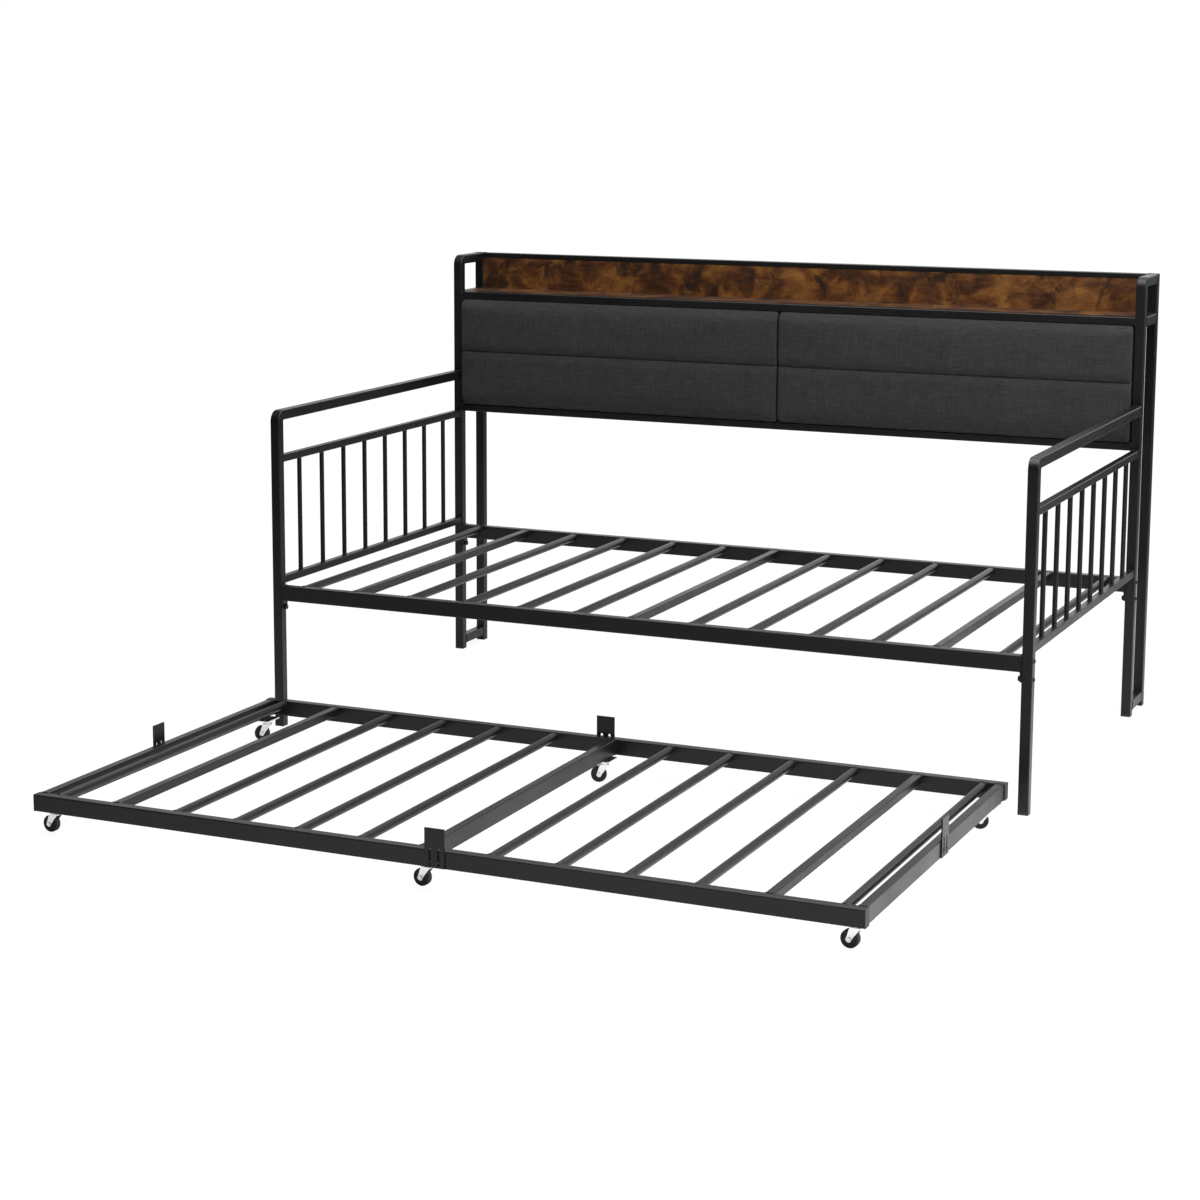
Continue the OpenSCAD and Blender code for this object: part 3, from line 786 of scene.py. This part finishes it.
def make_world():
    """White backdrop for the camera; for light and reflections a dim room with a bright rear wall."""
    world = bpy.data.worlds.new("studio")
    bpy.context.scene.world = world
    world.use_nodes = True
    nt = world.node_tree
    nt.nodes.clear()
    out = nt.nodes.new("ShaderNodeOutputWorld")
    white = nt.nodes.new("ShaderNodeBackground")
    soft = nt.nodes.new("ShaderNodeBackground")
    white.inputs["Color"].default_value = (1, 1, 1, 1)
    coord = nt.nodes.new("ShaderNodeTexCoord")
    aim = nt.nodes.new("ShaderNodeVectorMath")
    aim.operation = "DOT_PRODUCT"
    nt.links.new(coord.outputs["Generated"], aim.inputs[0])
    aim.inputs[1].default_value = Vector(REAR_WALL).normalized()
    ramp = nt.nodes.new("ShaderNodeValToRGB")
    ramp.color_ramp.interpolation = "EASE"
    for e, (pos, v) in zip(ramp.color_ramp.elements, ((ROOM_EDGE, ROOM), (WALL_EDGE, REAR_GLOW))):
        e.position = pos
        e.color = (v, v, v, 1)
    nt.links.new(aim.outputs["Value"], ramp.inputs["Fac"])
    nt.links.new(ramp.outputs["Color"], soft.inputs["Color"])
    light_path_mix(nt, white.outputs[0], soft.outputs[0], out.inputs["Surface"])


def area(name, at, target, size, size_y, power):
    """Soft rectangular light at one point, aimed at another; power in watts."""
    data = bpy.data.lights.new(name, "AREA")
    data.shape = "RECTANGLE"
    data.size, data.size_y, data.energy = size, size_y, power
    ob = place(name, data)
    ob.location = at
    ob.rotation_mode = "QUATERNION"
    ob.rotation_quaternion = (Vector(target) - Vector(at)).to_track_quat("-Z", "Y")
    ob.visible_camera = False


def make_camera():
    data = bpy.data.cameras.new("camera")
    data.sensor_width = 36.0
    data.lens = 79.35
    data.shift_x, data.shift_y = 0.0565, -0.0787
    data.clip_start, data.clip_end = 0.1, 200.0
    ob = place("camera", data)
    ob.location = (2.4517, -5.7898, 1.6665)
    ob.rotation_euler = (math.radians(90 - 9.298), 0.0, math.radians(25.246))
    bpy.context.scene.camera = ob


make_floor()
make_world()
area("overhead", (0.3, -0.2, 4.6), (0.0, -0.2, 0.0), 4.5, 4.5, 330.0)
area("key", (5.2, -2.6, 3.6), (0.4, 0.0, 0.5), 2.2, 2.2, 150.0)
area("floor_right", (2.6, -0.3, 1.8), (1.9, -0.3, 0.0), 1.2, 2.6, 45.0)
make_camera()
bpy.context.scene.view_settings.view_transform = "Standard"
bpy.context.scene.view_settings.look = "None"
